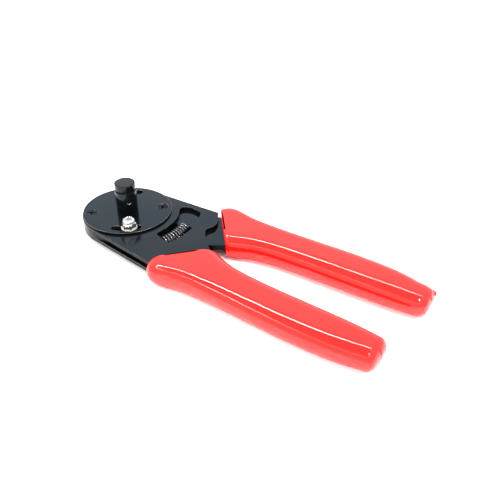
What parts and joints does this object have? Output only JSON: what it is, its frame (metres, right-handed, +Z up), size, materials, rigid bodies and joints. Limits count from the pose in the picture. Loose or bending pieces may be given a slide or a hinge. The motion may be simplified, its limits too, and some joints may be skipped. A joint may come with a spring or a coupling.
{
  "type": "crimping tool",
  "caption": "Hand crimping tool with a round head, locator post, inward-sliding indenters, curved return spring and dipped handles.",
  "frame": {"origin": "on the crimp axis, at the underside of the lower frame plate, inside the contact entry hole", "axes": "+X from the head to the handles, +Z up along the locator post"},
  "size_m": [0.1985, 0.0736, 0.029],
  "materials": {
    "black_steel": "glossy black oxide",
    "black_post": "glossy black",
    "black_screw": "black oxide",
    "bright_steel": "plated",
    "plain_steel": "machined",
    "tool_steel": "ground",
    "spring_steel": "oiled",
    "nylon": "translucent",
    "red_coat": "glossy dipped vinyl"
  },
  "bodies": {
    "frame": {"frame_top_plate": "black_steel", "frame_bottom_plate": "black_steel", "frame_spacer": "plain_steel", "frame_rivets": "plain_steel", "fixed_grip": "red_coat", "cover_disc": "black_steel", "cover_screws": "black_screw", "die_housing": "plain_steel", "entry_plate": "black_steel", "entry_screws": "black_screw", "locator_post": "black_post", "locator_set_screw": "bright_steel", "return_spring": "spring_steel"},
    "lever": {"lever_top_plate": "black_steel", "lever_bottom_plate": "black_steel", "lever_doubler_top": "plain_steel", "lever_doubler_bottom": "plain_steel", "lever_rivets": "plain_steel", "moving_grip": "red_coat", "guide_bolts": "bright_steel", "guide_washers": "bright_steel", "guide_nuts": "bright_steel", "guide_nut_inserts": "nylon"},
    "indenter_1": {"indenter_1": "tool_steel"},
    "indenter_2": {"indenter_2": "tool_steel"},
    "indenter_3": {"indenter_3": "tool_steel"},
    "indenter_4": {"indenter_4": "tool_steel"},
    "locator_cap": {"locator_cap": "black_post"}
  },
  "joints": [
    {"name": "lever_hinge", "type": "hinge", "parent": "frame", "child": "lever", "pos_m": [0, 0, 0.0036], "axis": [0, 0, 1], "range_deg": [-7, 0], "stiffness_Nm_per_rad": 2, "springref_deg": 3.44, "deforming": ["return_spring"]},
    {"name": "indenter_1_slide", "type": "slide", "parent": "frame", "child": "indenter_1", "axis": [-1, 0, 0], "range_m": [0, 0.0013]},
    {"name": "indenter_2_slide", "type": "slide", "parent": "frame", "child": "indenter_2", "axis": [0, -1, 0], "range_m": [0, 0.0013]},
    {"name": "indenter_3_slide", "type": "slide", "parent": "frame", "child": "indenter_3", "axis": [1, 0, 0], "range_m": [0, 0.0013]},
    {"name": "indenter_4_slide", "type": "slide", "parent": "frame", "child": "indenter_4", "axis": [0, 1, 0], "range_m": [0, 0.0013]},
    {"name": "locator_slide", "type": "slide", "parent": "frame", "child": "locator_cap", "axis": [0, 0, 1], "range_m": [0, 0.002]}
  ],
  "couplings": [
    {"joint": "indenter_1_slide", "follows": "lever_hinge", "m_per_rad": -0.010641},
    {"joint": "indenter_2_slide", "follows": "lever_hinge", "m_per_rad": -0.010641},
    {"joint": "indenter_3_slide", "follows": "lever_hinge", "m_per_rad": -0.010641},
    {"joint": "indenter_4_slide", "follows": "lever_hinge", "m_per_rad": -0.010641}
  ]
}
